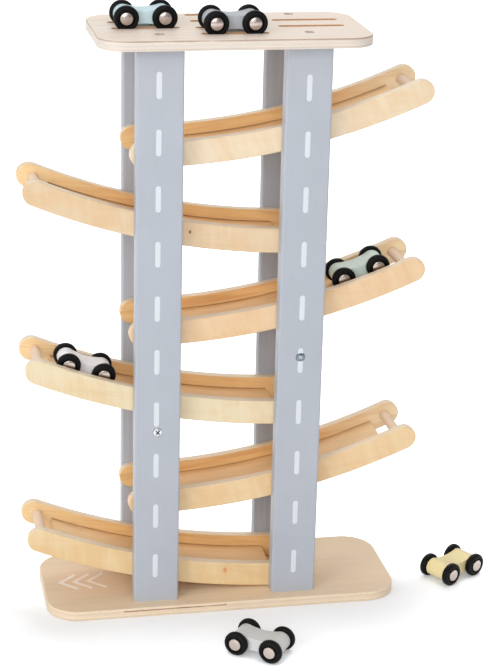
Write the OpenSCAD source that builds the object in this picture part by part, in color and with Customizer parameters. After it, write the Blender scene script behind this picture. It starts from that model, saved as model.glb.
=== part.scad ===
// Click-clack track: a plywood base and top board on four painted posts, six curved
// ramps in a zigzag between them, and six small cars that roll down from ramp to ramp.
// Millimetres. The origin is the middle of the base's underside, +Z is up,
// +X runs along the base and the front posts face -Y.

/* [Boards] */
// Length of the base board along X
base_len = 360; // [300:5:420]
// How far the base board reaches past the posts at the front and the back
base_over = 14; // [8:1:40]
// Corner radius of the base board, seen from above
base_corner = 32; // [10:1:45]
// Length of the top board along X
top_len = 260; // [240:5:320]
// How far the top board reaches past the front posts
top_front_over = 24; // [10:1:40]
// How far the top board reaches past the back posts
top_back_over = 4; // [2:1:30]
// Corner radius of the top board, seen from above
top_corner = 26; // [10:1:45]
// Thickness of both boards
board_t = 10; // [8:0.5:16]
// Rounding of the boards' edges
board_edge = 1; // [0.5:0.1:2]

/* [Posts] */
// Width of a post along X
post_w = 45; // [36:1:56]
// Thickness of a post along Y
post_t = 15; // [13:0.5:20]
// Length of a post between the two boards
post_h = 567; // [540:1:640]
// Distance between the middles of the left and right posts
post_span = 141.5; // [130:0.5:160]
// Rounding of the posts' edges
post_edge = 2; // [1:0.1:3]
// Rounding of the corners at a post's foot, seen from the front
post_foot = 3; // [2.5:0.1:6]

/* [Ramps] */
// Radius of the upper edge of a ramp's rails
rail_r = 660; // [600:5:760]
// Height of a rail
rail_h = 24.5; // [22:0.5:28]
// Thickness of a rail
rail_t = 9.5; // [8.5:0.1:12]
// Rounding of a rail's edges
rail_edge = 1.2; // [0.6:0.1:2]
// Width of a ramp over both rails, which is also the gap between front and back posts
ramp_w = 78; // [74:1:90]
// Headroom between the top ramp's lowest upper edge and the top board
headroom = 94.2; // [90:0.2:110]
// Distance of a ramp's lowest point from the middle of the tower
arc_offset = 80; // [70:1:90]
// Reach of a ramp's high end from the middle of the tower
high_reach = 198.5; // [191:0.5:210]
// Reach of a ramp's low end from the middle of the tower
low_reach = 97; // [90:0.5:110]
// Gap between the lowest ramp and the base board
foot_gap = 0.3; // [0.2:0.1:3]

/* [Ramp floors] */
// Depth of the floor below the rails' upper edge
floor_drop = 12.5; // [10:0.5:14]
// Thickness of the floor
floor_t = 4; // [3:0.5:5]
// Reach of the floor's high end from the middle of the tower
floor_high = 168; // [160:1:172]
// Reach of the floor's low end from the middle of the tower
floor_low = 54.5; // [45:0.5:60]
// Depth of the groove that holds the floor in each rail
groove_d = 3; // [2:0.25:3.5]
// Room over the floor in its groove, seen as a dark line
groove_play = 0.8; // [0.3:0.1:1]
// Room at the floor's sides, ends and underside in its groove
floor_play = 0.1; // [0.05:0.05:0.2]

/* [Dowels and pins] */
// Diameter of the stop dowel across a ramp's high end
stop_d = 10; // [8:0.5:11]
// Distance of the stop dowel from the middle of a ramp's round end, along the ramp
stop_back = 3.6; // [0:0.1:6]
// Depth of the stop dowel's seat in a rail
stop_seat = 5; // [3:0.5:6]
// Diameter of the pins that join rails and posts
pin_d = 5; // [4:0.5:6]
// Wood left in a post between a pin and the nearest screw
pin_wall = 0.8; // [0.5:0.1:2]
// Depth of a pin in its rail
pin_in_rail = 5; // [4:0.25:5.25]
// Diameter of the tie between a front and a back post
tie_d = 10; // [8:0.5:12]
// Drop of the left tie below the middle of the fourth ramp's rails at its post
left_tie_drop = 25; // [21:0.5:40]
// Drop of the right tie below the middle of the third ramp's rails at its post
right_tie_drop = 42.5; // [21:0.5:50]
// Room round a dowel, pin or screw in its hole
wood_fit = 0.05; // [0.02:0.01:0.1]

/* [Screws] */
// Diameter of a screw's countersunk head
screw_head = 9.5; // [8:0.5:10]
// Diameter of a screw's shank
screw_d = 4; // [3:0.5:4.5]
// Length of the screws through the boards
board_screw_len = 40; // [30:1:50]
// Length of the screws through the posts
post_screw_len = 32; // [28:1:36]
// Depth of the top screws' heads below the top board's face
head_sink = 1.5; // [0.5:0.1:3]
// Height of the post screws' domed heads above the posts
head_dome = 0.9; // [0.4:0.1:1.5]
// Depth of the cross in a screw's head
cross_depth = 1.6; // [1:0.1:2]
// Width of an arm of that cross
cross_w = 1.3; // [0.8:0.1:1.5]
// Span of that cross
cross_span = 5; // [4:0.1:6]

/* [Cars] */
// Diameter of a car's wheel
wheel_d = 24; // [22:0.5:26]
// Width of a wheel
wheel_w = 6.8; // [6:0.1:8]
// Rounding of a wheel's rim
wheel_edge = 2.2; // [1:0.1:2.8]
// Diameter of the dished part of a wheel
dish_d = 16; // [15:0.5:19]
// Depth of that dish
dish_depth = 1.4; // [0.8:0.1:2]
// Distance between a car's axles
wheelbase = 36.5; // [34:0.5:40]
// Distance between the middles of the left and right wheels
track = 31.2; // [28:0.2:34]
// Gap between a wheel and the body's side
wheel_gap = 0.4; // [0.3:0.1:1]
// Diameter of the body's round ends
nose_d = 18; // [15:0.5:20]
// Height of the body's waist, midway between the axles
waist_h = 12.6; // [10:0.2:14]
// Diameter of an axle
axle_d = 4; // [3:0.5:5]
// Room round the axle in the body, where it turns
axle_play = 0.06; // [0.02:0.01:0.1]
// Room round the axle in the wheels, which are pressed on
press_play = 0.01; // [0:0.01:0.03]
// Diameter of an axle's domed cap
cap_d = 12; // [10:0.5:13]
// Height of that cap
cap_h = 2.8; // [2:0.1:3.5]

/* [Parking slots] */
// Length of a slot
slot_len = 64.5; // [62:0.5:72]
// Room beside a wheel in its slot
slot_room = 0.5; // [0.3:0.1:1]
// Depth of a slot
slot_depth = 3; // [2:0.25:4]
// Distance of the left and right parking places from the middle
park_x = 79.5; // [74:0.5:90]
// Distance of the front and back parking places from the middle
park_y = 32; // [28:0.5:34]

/* [Where the cars stand] */
// Gap under a wheel that stands on a ramp or in a slot
roll_gap = 0.3; // [0.2:0.05:0.5]
// Distance of a ramp car's middle from the floor's high end, along the floor
ramp_car_back = 28.5; // [25:0.5:60]
// Gap between a ramp car's axle caps and the front rail
ramp_car_gap = 3.1; // [1:0.1:15]
// Place of the silver car beside the base: X
silver_x = 15.5; // [-60:0.5:60]
// Place of the silver car beside the base: distance in front of the base's edge
silver_clear = 89; // [70:1:140]
// Heading of the silver car, in degrees from +X
silver_turn = -36; // [-60:1:-10]
// Place of the yellow car beside the base: distance right of the base's end
yellow_clear = 70.5; // [55:0.5:120]
// Place of the yellow car beside the base: Y
yellow_y = -22.5; // [-60:0.5:40]
// Heading of the yellow car, in degrees from +X
yellow_turn = 31; // [10:1:50]

/* [Hidden] */
// Fineness of round parts, of long arcs and of small roundings
$fn = 64;
arc_fn = 720;
edge_fn = 32;
// Overlap of cutting shapes past the surfaces that they cut
past = 1;
// How far a rail's round ends are set in from its surfaces
end_inset = 0.02;

ramps = 6;
top_under = board_t + post_h;
top_face = top_under + board_t;
post_x = post_span / 2;
post_in = ramp_w / 2;
post_y = post_in + post_t / 2;
posts_depth = ramp_w + 2 * post_t;
base_depth = posts_depth + 2 * base_over;
top_depth = posts_depth + top_front_over + top_back_over;
top_forward = (top_front_over - top_back_over) / 2;
rail_in = ramp_w / 2 - rail_t;
rail_mid = rail_r + rail_h / 2;
floor_r = rail_r + floor_drop;
lowest_rail_top = board_t + foot_gap + rail_h;
ramp_pitch = (top_under - headroom - lowest_rail_top) / (ramps - 1);
wheel_r = wheel_d / 2;
body_w = track - wheel_w - 2 * wheel_gap;
slot_w = wheel_w + 2 * slot_room;
cap_y = track / 2 + wheel_w / 2 - dish_depth;
car_reach = cap_y + cap_h;

// Angle from straight below an arc's middle to a reach from the tower's middle
function arc_angle(reach, radius) = asin((reach + arc_offset) / radius);
high_angle = arc_angle(high_reach - rail_h / 2, rail_mid);
stop_angle = high_angle - stop_back / rail_mid * 180 / PI;
low_angle = arc_angle(rail_h / 2 - low_reach, rail_mid);
floor_high_angle = arc_angle(floor_high, floor_r);
floor_low_angle = arc_angle(-floor_low, floor_r);
floor_end_angle = floor_play / floor_r * 180 / PI;

// Height of a ramp's middle line where the posts on the given side of the tower cross it
function crossing_z(n, x_side) =
    let (high_side = n % 2 == 1 ? 1 : -1)
    let (away = x_side * high_side * post_x + arc_offset)
    lowest_rail_top + (ramps - n) * ramp_pitch + rail_r - sqrt(pow(rail_mid, 2) - pow(away, 2));

// Height of the tie between the posts on the given side
function tie_z(x_side) =
    x_side < 0 ? crossing_z(4, x_side) - left_tie_drop : crossing_z(3, x_side) - right_tie_drop;
pin_in_post = (post_t - screw_d) / 2 - 2 * wood_fit - pin_wall;

// A car on a ramp: radius of its axles' path, of its middle, and its angle
path_r = floor_r - roll_gap - wheel_r;
car_mid_r = sqrt(pow(path_r, 2) - pow(wheelbase / 2, 2));
car_angle = floor_high_angle - ramp_car_back / floor_r * 180 / PI;

// The waist's hollow: an arc tangent to both round ends
nose_r = nose_d / 2;
waist_drop = nose_r - waist_h / 2;
hollow_y = (pow(wheelbase / 2, 2) - pow(waist_drop, 2)) / (2 * waist_drop);
hollow_r = hollow_y - waist_h / 2;
touch_y = hollow_y * nose_r / (nose_r + hollow_r);
// The waist's block stops this far below the line where those arcs touch
blend_drop = 0.3;

ply = "burlywood";
rail_wood = "wheat";
post_grey = "lightsteelblue";
steel = "silver";
tyre_black = [0.1, 0.1, 0.11];

cars = ["blue", "grey", "mint", "white", "silver", "yellow"];
car_paints = ["lightblue", "darkgray", "darkseagreen", "whitesmoke", "lightgray", "khaki"];
car_parts = ["car_body", "front_wheels", "front_axle", "rear_wheels", "rear_axle"];
ramp_parts = ["front_rail", "back_rail", "floor"];
post_names = ["front_left_post", "front_right_post", "back_left_post", "back_right_post"];
post_sides = [[-1, -1], [1, -1], [-1, 1], [1, 1]];

// Flat shapes

module rounded_square(size, r) {
    square([size[0] - 2 * r, size[1]], center = true);
    square([size[0], size[1] - 2 * r], center = true);
    for (x = [-1, 1], y = [-1, 1])
        translate([x * (size[0] / 2 - r), y * (size[1] / 2 - r)])
            circle(r, $fn = edge_fn);
}

// Half of a rounded square, on the +X side of the Y axis
module rounded_half(reach, thick, r) {
    translate([0, -thick / 2])
        square([reach - r, thick]);
    translate([0, r - thick / 2])
        square([reach, thick - 2 * r]);
    for (y = [-1, 1])
        translate([reach - r, y * (thick / 2 - r)])
            circle(r, $fn = edge_fn);
}

// Boards

module board(len, depth, corner) {
    translate([0, 0, board_t / 2]) {
        rotate([90, 0, 90])
            linear_extrude(len - 2 * corner, center = true)
                rounded_square([depth, board_t], board_edge);
        rotate([90, 0, 0])
            linear_extrude(depth - 2 * corner, center = true)
                rounded_square([len, board_t], board_edge);
        for (k = [0:3]) {
            x = (k == 0 || k == 3) ? 1 : -1;
            y = k < 2 ? 1 : -1;
            translate([x * (len / 2 - corner), y * (depth / 2 - corner), 0])
                rotate([0, 0, 90 * k])
                    rotate_extrude(angle = 90)
                        rounded_half(corner, board_t, board_edge);
        }
    }
}

module at_posts() {
    for (s = post_sides)
        translate([s[0] * post_x, s[1] * post_y, 0])
            children();
}

module parking_place() {
    for (y = [-1, 1])
        translate([0, y * track / 2, top_face - slot_depth]) {
            translate([0, 0, (slot_depth + past) / 2])
                cube([slot_len - slot_w, slot_w, slot_depth + past], center = true);
            for (x = [-1, 1])
                translate([x * (slot_len - slot_w) / 2, 0, 0])
                    cylinder(h = slot_depth + past, d = slot_w);
        }
}

module base_board() {
    color(ply)
        difference() {
            board(base_len, base_depth, base_corner);
            at_posts() base_screw(wood_fit, false);
        }
}

module top_board() {
    color(ply)
        difference() {
            translate([0, -top_forward, top_under])
                board(top_len, top_depth, top_corner);
            at_posts() top_screw(wood_fit, false, head_sink + past);
            for (p = [[-park_x, 0], [park_x, 0], [0, -park_y], [0, park_y]])
                translate([p[0], p[1], 0])
                    parking_place();
        }
}

// Posts

module post(k) {
    s = post_sides[k];
    color(post_grey)
        difference() {
            translate([s[0] * post_x, s[1] * post_y, board_t])
                post_blank();
            translate([s[0] * post_x, s[1] * post_y, 0]) {
                top_screw(wood_fit, false);
                base_screw(wood_fit, false);
            }
            post_screw(s, wood_fit, false);
            for (n = [1:ramps])
                rail_pin(n, s, wood_fit);
        }
}

module post_blank() {
    intersection() {
        linear_extrude(post_h)
            rounded_square([post_w, post_t], post_edge);
        translate([0, 0, post_h / 2])
            rotate([90, 0, 0])
                linear_extrude(post_t + past, center = true)
                    rounded_square([post_w, post_h], post_foot);
    }
}

// Ramps, written with the high end at +X and turned over for every second one

module ramp_place(n) {
    translate([0, 0, lowest_rail_top + (ramps - n) * ramp_pitch]) {
        if (n % 2 == 1)
            children();
        else
            mirror([1, 0, 0])
                children();
    }
}

module at_arc(angle, radius) {
    translate([radius * sin(angle) - arc_offset, 0, rail_r - radius * cos(angle)])
        children();
}

// Sweeps a flat shape of radius and Y round the arc's axis
module arc_sweep(from, to) {
    translate([-arc_offset, 0, rail_r])
        rotate([90, 0, 0])
            rotate([0, 0, from - 90])
                rotate_extrude(angle = to - from, $fn = arc_fn)
                    mirror([0, 1])
                        children();
}

// A rail's round end, a disc that is set in by a hair so that it always joins the rail
module rail_end(angle) {
    at_arc(angle, rail_mid)
        rotate([90, 0, 0])
            rotate_extrude()
                rounded_half(rail_h / 2 - end_inset, rail_t - 2 * end_inset, rail_edge);
}

module rail_blank() {
    arc_sweep(low_angle, high_angle)
        translate([rail_mid, 0])
            rounded_square([rail_h, rail_t], rail_edge);
    rail_end(high_angle);
    rail_end(low_angle);
}

module rail(n, side) {
    color(rail_wood)
        difference() {
            ramp_place(n)
                difference() {
                    translate([0, side * (ramp_w - rail_t) / 2, 0])
                        rail_blank();
                    floor_groove(side);
                    stop_dowel(wood_fit);
                }
            for (x = [-1, 1])
                rail_pin(n, [x, side], wood_fit);
        }
}

module floor_groove(side) {
    near = floor_r - groove_play;
    far = floor_r + floor_t + floor_play;
    arc_sweep(floor_low_angle - floor_end_angle, floor_high_angle + floor_end_angle)
        translate([(near + far) / 2, side * (rail_in + (groove_d - past) / 2)])
            square([far - near, groove_d + past], center = true);
}

module ramp_floor(n) {
    width = 2 * (rail_in + groove_d - floor_play);
    color(ply)
        ramp_place(n)
            arc_sweep(floor_low_angle, floor_high_angle)
                translate([floor_r + floor_t / 2, 0])
                    square([floor_t, width], center = true);
}

// Dowels and pins

module stop_dowel(room) {
    at_arc(stop_angle, rail_mid)
        rotate([90, 0, 0])
            cylinder(h = 2 * (rail_in + stop_seat + room), d = stop_d + 2 * room, center = true);
}

module stop_dowels() {
    color(rail_wood)
        for (n = [1:ramps])
            ramp_place(n)
                stop_dowel(0);
}

module rail_pin(n, s, room) {
    len = pin_in_post + pin_in_rail + 2 * room;
    translate([s[0] * post_x, s[1] * (post_in - pin_in_rail - room), crossing_z(n, s[0])])
        rotate([-90 * s[1], 0, 0])
            cylinder(h = len, d = pin_d + 2 * room);
}

module rail_pins() {
    color(rail_wood)
        for (n = [1:ramps], s = post_sides)
            rail_pin(n, s, 0);
}

module tie_dowels() {
    color(rail_wood)
        for (x = [-1, 1])
            difference() {
                translate([x * post_x, 0, tie_z(x)])
                    rotate([90, 0, 0])
                        cylinder(h = ramp_w, d = tie_d, center = true);
                for (y = [-1, 1])
                    post_screw([x, y], wood_fit, false);
            }
}

// Half section of a dome that stands on the X axis
module dome_section(d, h) {
    dome_r = (pow(d / 2, 2) + pow(h, 2)) / (2 * h);
    intersection() {
        translate([0, h - dome_r])
            circle(dome_r);
        square([d / 2, h]);
    }
}

// Screws, written with the head's rim at the origin and the shank along -Z.
// A hole for a screw can reach above the head's rim.

module screw(len, room, crossed, dome = 0, above = 0) {
    slope = (screw_head - screw_d) / 2;
    head_r = screw_head / 2 + room;
    difference() {
        rotate_extrude() {
            polygon(concat(
                [[0, above], [head_r, above]],
                above > 0 ? [[head_r, 0]] : [],
                [[screw_d / 2 + room, -slope], [screw_d / 2 + room, -len - room], [0, -len - room]]
            ));
            if (dome > 0)
                dome_section(screw_head, dome);
        }
        if (crossed)
            for (turn = [45, 135])
                translate([0, 0, dome])
                    rotate([0, 0, turn])
                        cube([cross_span, cross_w, 2 * cross_depth], center = true);
    }
}

module top_screw(room, crossed, above = 0) {
    translate([0, 0, top_face - head_sink])
        screw(board_screw_len, room, crossed, 0, above);
}

module base_screw(room, crossed) {
    mirror([0, 0, 1])
        screw(board_screw_len, room, crossed);
}

module post_screw(s, room, crossed) {
    translate([s[0] * post_x, s[1] * (post_in + post_t), tie_z(s[0])])
        rotate([-90 * s[1], 0, 0])
            screw(post_screw_len, room, crossed, crossed ? head_dome : 0);
}

module top_screws() {
    color(steel) at_posts() top_screw(0, true);
}

module base_screws() {
    color(steel) at_posts() base_screw(0, true);
}

module post_screws() {
    color(steel)
        for (s = post_sides)
            post_screw(s, 0, true);
}

// Cars, written with +X forward and the origin midway between the axles

module car_place(c) {
    parked_z = top_face - slot_depth + roll_gap + wheel_r;
    if (c == 0)
        translate([-park_x, 0, parked_z]) children();
    if (c == 1)
        translate([0, -park_y, parked_z]) children();
    if (c == 2)
        on_ramp(3) children();
    if (c == 3)
        on_ramp(4) children();
    if (c == 4)
        translate([silver_x, -base_depth / 2 - silver_clear, wheel_r])
            rotate([0, 0, silver_turn]) children();
    if (c == 5)
        translate([base_len / 2 + yellow_clear, yellow_y, wheel_r])
            rotate([0, 0, yellow_turn]) children();
}

module on_ramp(n) {
    ramp_place(n)
        at_arc(car_angle, car_mid_r)
            translate([0, car_reach + ramp_car_gap - rail_in, 0])
                rotate([0, -car_angle, 0])
                    children();
}

module body_outline() {
    for (x = [-1, 1])
        translate([x * wheelbase / 2, 0])
            circle(nose_r);
    difference() {
        square([wheelbase, 2 * (touch_y - blend_drop)], center = true);
        for (y = [-1, 1])
            translate([0, y * hollow_y])
                circle(hollow_r, $fn = 4 * $fn);
    }
}

module body_blank() {
    rotate([90, 0, 0])
        difference() {
            linear_extrude(body_w, center = true)
                body_outline();
            for (x = [-1, 1])
                translate([x * wheelbase / 2, 0, 0])
                    cylinder(h = body_w + 2 * past, d = axle_d + 2 * axle_play, center = true);
        }
}

// A wheel's half section, with its outer face towards +Y
module wheel_section() {
    difference() {
        rounded_half(wheel_r, wheel_w, wheel_edge);
        translate([0, -wheel_w])
            square([axle_d / 2 + press_play, 2 * wheel_w]);
        polygon([
            [0, wheel_w],
            [0, wheel_w / 2 - dish_depth],
            [dish_d / 2 - dish_depth, wheel_w / 2 - dish_depth],
            [dish_d / 2 + dish_depth, wheel_w / 2 + dish_depth],
            [dish_d / 2, wheel_w]
        ]);
    }
}

module wheel_pair() {
    for (side = [-1, 1])
        rotate([-90 * side, 0, 0])
            translate([0, 0, track / 2])
                rotate_extrude()
                    wheel_section();
}

module axle_section() {
    translate([0, -cap_y])
        square([axle_d / 2, 2 * cap_y]);
    for (side = [0, 1])
        mirror([0, side])
            translate([0, cap_y])
                dome_section(cap_d, cap_h);
}

module car_body(c) {
    color(car_paints[c]) car_place(c) body_blank();
}

module car_wheels(c, end) {
    color(tyre_black)
        car_place(c)
            translate([end * wheelbase / 2, 0, 0])
                wheel_pair();
}

module car_axle(c, end) {
    color(steel)
        car_place(c)
            translate([end * wheelbase / 2, 0, 0])
                rotate([90, 0, 0])
                    rotate_extrude()
                        axle_section();
}

base_board();
top_board();
for (k = [0:3])
    post(k);
for (n = [1:ramps]) {
    rail(n, -1);
    rail(n, 1);
    ramp_floor(n);
}
stop_dowels();
rail_pins();
tie_dowels();
top_screws();
base_screws();
post_screws();
for (c = [0:len(cars) - 1]) {
    car_body(c);
    car_wheels(c, 1);
    car_axle(c, 1);
    car_wheels(c, -1);
    car_axle(c, -1);
}
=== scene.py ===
from math import asin, cos, degrees, hypot, pi, radians, sin, sqrt

import bmesh
import bpy
from bpy.props import FloatProperty, FloatVectorProperty, IntProperty, PointerProperty
from mathutils import Matrix, Vector


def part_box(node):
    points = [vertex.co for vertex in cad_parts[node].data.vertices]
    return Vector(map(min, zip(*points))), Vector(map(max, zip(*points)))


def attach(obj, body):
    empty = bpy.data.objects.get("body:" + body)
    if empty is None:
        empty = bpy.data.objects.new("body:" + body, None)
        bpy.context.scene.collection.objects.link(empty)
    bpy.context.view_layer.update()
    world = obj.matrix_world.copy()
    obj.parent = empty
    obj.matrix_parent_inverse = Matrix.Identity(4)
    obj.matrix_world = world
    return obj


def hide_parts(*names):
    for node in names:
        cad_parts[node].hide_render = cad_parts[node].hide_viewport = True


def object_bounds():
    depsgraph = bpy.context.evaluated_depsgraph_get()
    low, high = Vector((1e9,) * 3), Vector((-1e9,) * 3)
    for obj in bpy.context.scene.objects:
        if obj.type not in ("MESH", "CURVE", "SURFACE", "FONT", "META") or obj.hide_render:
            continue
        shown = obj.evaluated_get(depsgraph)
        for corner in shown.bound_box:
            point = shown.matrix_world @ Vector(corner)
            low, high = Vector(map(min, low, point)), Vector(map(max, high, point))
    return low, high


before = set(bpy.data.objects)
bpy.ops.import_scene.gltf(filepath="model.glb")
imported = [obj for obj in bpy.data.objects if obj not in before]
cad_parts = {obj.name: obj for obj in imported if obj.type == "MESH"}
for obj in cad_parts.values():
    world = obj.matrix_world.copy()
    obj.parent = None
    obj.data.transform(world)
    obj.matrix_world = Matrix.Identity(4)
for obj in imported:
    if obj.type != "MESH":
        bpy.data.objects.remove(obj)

bl_info = {
    "name": "Click-clack track",
    "version": (1, 0, 0),
    "blender": (4, 5, 0),
    "location": "3D View > Sidebar > Track",
    "description": "Dresses a wooden car track with its finishes, road marks and cars",
    "category": "Add Mesh",
}

CAD_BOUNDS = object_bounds()
PHOTO_LONG_SIDE = 669
SENSOR = 36.0
LIGHT_DISTANCE = 3.6
CARS = ("blue", "grey", "mint", "white", "silver", "yellow")
ENDS = ("front", "rear")
RAMPS = range(1, 7)
POSTS = ("front_left_post", "front_right_post", "back_left_post", "back_right_post")
X, Y, Z = range(3)


def srgb(*screen):
    """A colour as a screen shows it, 0 to 255, in the linear values that shaders use."""
    parts = [value / 255 for value in screen]
    return tuple(p / 12.92 if p <= 0.04045 else ((p + 0.055) / 1.055) ** 2.4 for p in parts)


# Settings


def colour(name, description, *screen):
    """A colour setting, given as a screen shows it."""
    return FloatVectorProperty(
        name=name, description=description, subtype="COLOR", min=0, max=1, default=srgb(*screen)
    )


def size(name, description, default):
    """A length setting in metres."""
    return FloatProperty(
        name=name, description=description, subtype="DISTANCE", unit="LENGTH", min=0, default=default
    )


def angle(name, description, turn):
    """An angle setting, given in degrees."""
    return FloatProperty(name=name, description=description, subtype="ANGLE", default=radians(turn))


def strength(name, description, default, subtype="NONE"):
    """How strong a light is."""
    return FloatProperty(name=name, description=description, subtype=subtype, min=0, default=default)


class TrackColours(bpy.types.PropertyGroup):
    """Colours of the tower and its cars."""

    top_veneer: colour("Top board", "Veneer of the top board", 249, 232, 216)
    top_edge: colour("Top edge", "Cut edge of the top board", 229, 219, 207)
    base_veneer: colour("Base board", "Veneer of the base board", 238, 214, 183)
    base_edge: colour("Base edge", "Cut edge of the base board", 244, 224, 196)
    floor_veneer: colour("Ramp floors", "Veneer of the ramps' floors", 249, 215, 168)
    routed: colour("Routed ply", "Slots and holes in the boards", 216, 168, 116)
    glue_line: colour("Glue line", "Dark lines between the plies", 150, 104, 68)
    rail_1: colour("Ramp 1", "Wood of the first ramp's rails", 239, 217, 184)
    rail_2: colour("Ramp 2", "Wood of the second ramp's rails", 230, 203, 166)
    rail_3: colour("Ramp 3", "Wood of the third ramp's rails", 237, 203, 160)
    rail_4: colour("Ramp 4", "Wood of the fourth ramp's rails", 236, 217, 180)
    rail_5: colour("Ramp 5", "Wood of the fifth ramp's rails", 238, 206, 158)
    rail_6: colour("Ramp 6", "Wood of the sixth ramp's rails", 238, 209, 160)
    # Painted bounce light and shade: the rails' inner sides, left and right of the middle, and deeper
    # between the posts.
    inside_left_shade: colour("Left insides", "Inner sides of the ramps that rise to the left", 247, 213, 158)
    inside_right_shade: colour("Right insides", "Inner sides of the ramps that rise to the right", 245, 220, 178)
    rail_deep: colour("Deep insides", "Warmer wood of the inner sides, between the posts", 247, 202, 137)
    # Grain bands on the inner sides, drawn stronger between the posts as painted shade.
    rail_band: colour("Inner bands", "Brown bands along the inner sides", 213, 150, 90)
    # Painted sheen: a pale tone for the rails' upward faces, where the light catches them.
    rail_top: colour("Rail tops", "Sanded upper edges of the rails", 240, 226, 206)
    groove: colour("Grooves", "Shaded grooves over the floors", 78, 50, 28)
    knot: colour("Knot", "Pin knots in the rails", 104, 62, 38)
    blaze: colour("Blaze", "Orange flare of wood without a knot", 214, 140, 74)
    dowel: colour("Dowels", "Turned dowels and pins", 241, 214, 188)
    post: colour("Posts", "Paint of the posts", 183, 188, 197)
    mark: colour("Dashes", "White print of the dashes on the posts", 226, 230, 236)
    # Painted light: the chevrons' print is drawn paler than the dashes' to make up for the shade under the
    # ramps.
    chevron: colour("Chevrons", "White print of the chevrons on the base", 255, 247, 238)
    wheel: colour("Wheels", "Black of the wheels", 11, 10, 11)
    nickel: colour("Caps", "Domed caps on the axles", 192, 179, 171)
    screw: colour("Screws", "Screw heads", 200, 204, 208)
    # Painted shade: the right post's screw head is drawn darker than its twin.
    shaded_screw: colour("Dark screw", "Painted shade on the right screw head", 112, 122, 132)
    recess: colour("Recess", "Shaded crosses in the screw heads", 40, 40, 44)
    blue: colour("Blue car", "Paint of the blue car", 206, 232, 239)
    grey: colour("Grey car", "Paint of the grey car", 184, 188, 193)
    mint: colour("Mint car", "Paint of the mint car", 216, 232, 224)
    white: colour("White car", "Paint of the white car", 249, 249, 251)
    silver: colour("Silver car", "Paint of the silver car", 223, 224, 222)
    yellow: colour("Yellow car", "Paint of the yellow car", 244, 227, 172)


class RoadMarks(bpy.types.PropertyGroup):
    """White dashes on the posts and chevrons on the base."""

    dash_count: IntProperty(name="Dashes", description="Dashes on one post", min=1, default=10)
    dash_pitch: size("Dash pitch", "Distance from one dash to the next", 0.0546)
    dash_length: size("Dash length", "Length of a dash over its round ends", 0.0258)
    dash_width: size("Dash width", "Width of a dash", 0.0051)
    left_drop: size("Left drop", "From a left post's top to its first dash", 0.0234)
    right_drop: size("Right drop", "From a right post's top to its first dash", 0.0286)
    left_shift: size("Left shift", "How far a left post's dashes stand left of its middle", 0.0014)
    chevron_count: IntProperty(name="Chevrons", description="Chevrons on the base", min=1, default=3)
    chevron_inset: size("Chevron inset", "From the base's left end to the first tip", 0.015)
    chevron_pitch: size("Chevron pitch", "Distance from one chevron to the next", 0.0145)
    chevron_length: size("Chevron length", "Length of a chevron along the base", 0.018)
    chevron_spread: size("Chevron spread", "Half the width of a chevron", 0.0175)
    chevron_stroke: size("Chevron stroke", "Width of a chevron's arms", 0.0036)
    print_depth: size("Print depth", "Thickness of the white print", 0.00012)


class CarSizes(bpy.types.PropertyGroup):
    """Sizes of a car that its box doesn't give."""

    waist: size("Waist", "Height of the body midway between the axles", 0.0126)
    body_edge: size("Body edge", "Rounding of the body's edges", 0.0009)
    wheel_gap: size("Wheel gap", "Gap between a wheel and the body", 0.0004)
    axle: size("Axle", "Diameter of an axle", 0.004)
    axle_play: size("Axle play", "Room round an axle in the body", 0.00006)
    rim_round: size("Rim rounding", "Rounding of a wheel's rim", 0.0026)
    dish: size("Dish", "Diameter of a wheel's dished middle", 0.016)
    dish_depth: size("Dish depth", "Depth of that middle", 0.0014)
    dish_slope: size("Dish slope", "Width of the slope down to that middle", 0.0006)
    cap_rise: size("Cap rise", "Height of a cap's shallow dome", 0.0008)
    cap_round: size("Cap rounding", "Rounding between a cap's dome and its rim", 0.0005)


class StageSettings(bpy.types.PropertyGroup):
    """Camera, light and floor."""

    azimuth: angle("Azimuth", "Camera's turn from the front", -11.778)
    elevation: angle("Elevation", "Camera's height angle", 19.464)
    roll: angle("Roll", "Camera's tilt about its view", 1.435)
    distance: size("Distance", "Camera's distance from what it looks at", 1.9934)
    target: FloatVectorProperty(
        name="Target", description="What the camera looks at", subtype="XYZ", default=(0.0307, 0.0, 0.2726)
    )
    focal_pixels: FloatProperty(
        name="Focal length", description="In pixels of a frame 669 pixels high", min=1, default=1983.5
    )
    dome: strength("Dome", "Strength of the light all round", 0.51)
    left_light: strength("Left light", "Power of the light on the left", 47.0, "POWER")
    front_light: strength("Front light", "Power of the front light", 31.0, "POWER")
    back_light: strength("Back light", "Power of the light high behind", 27.0, "POWER")
    dim_front: strength("Dim front", "Strength of the dome in front, as gloss shows it", 0.3)
    floor_glow: strength("Floor glow", "White that the camera adds to the floor's shade", 0.19)
    shade_reach: size("Shade reach", "Distance over which the shade before the base turns white", 0.22)
    contact_reach: size("Contact shade", "How near a thing has to be to shade the floor", 0.05)
    floor_pale: colour("Floor", "Plain floor under the toy", 229, 231, 234)


GROUPS = {
    "track_colours": TrackColours,
    "road_marks": RoadMarks,
    "car_sizes": CarSizes,
    "track_stage": StageSettings,
}


# Shader nodes


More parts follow.
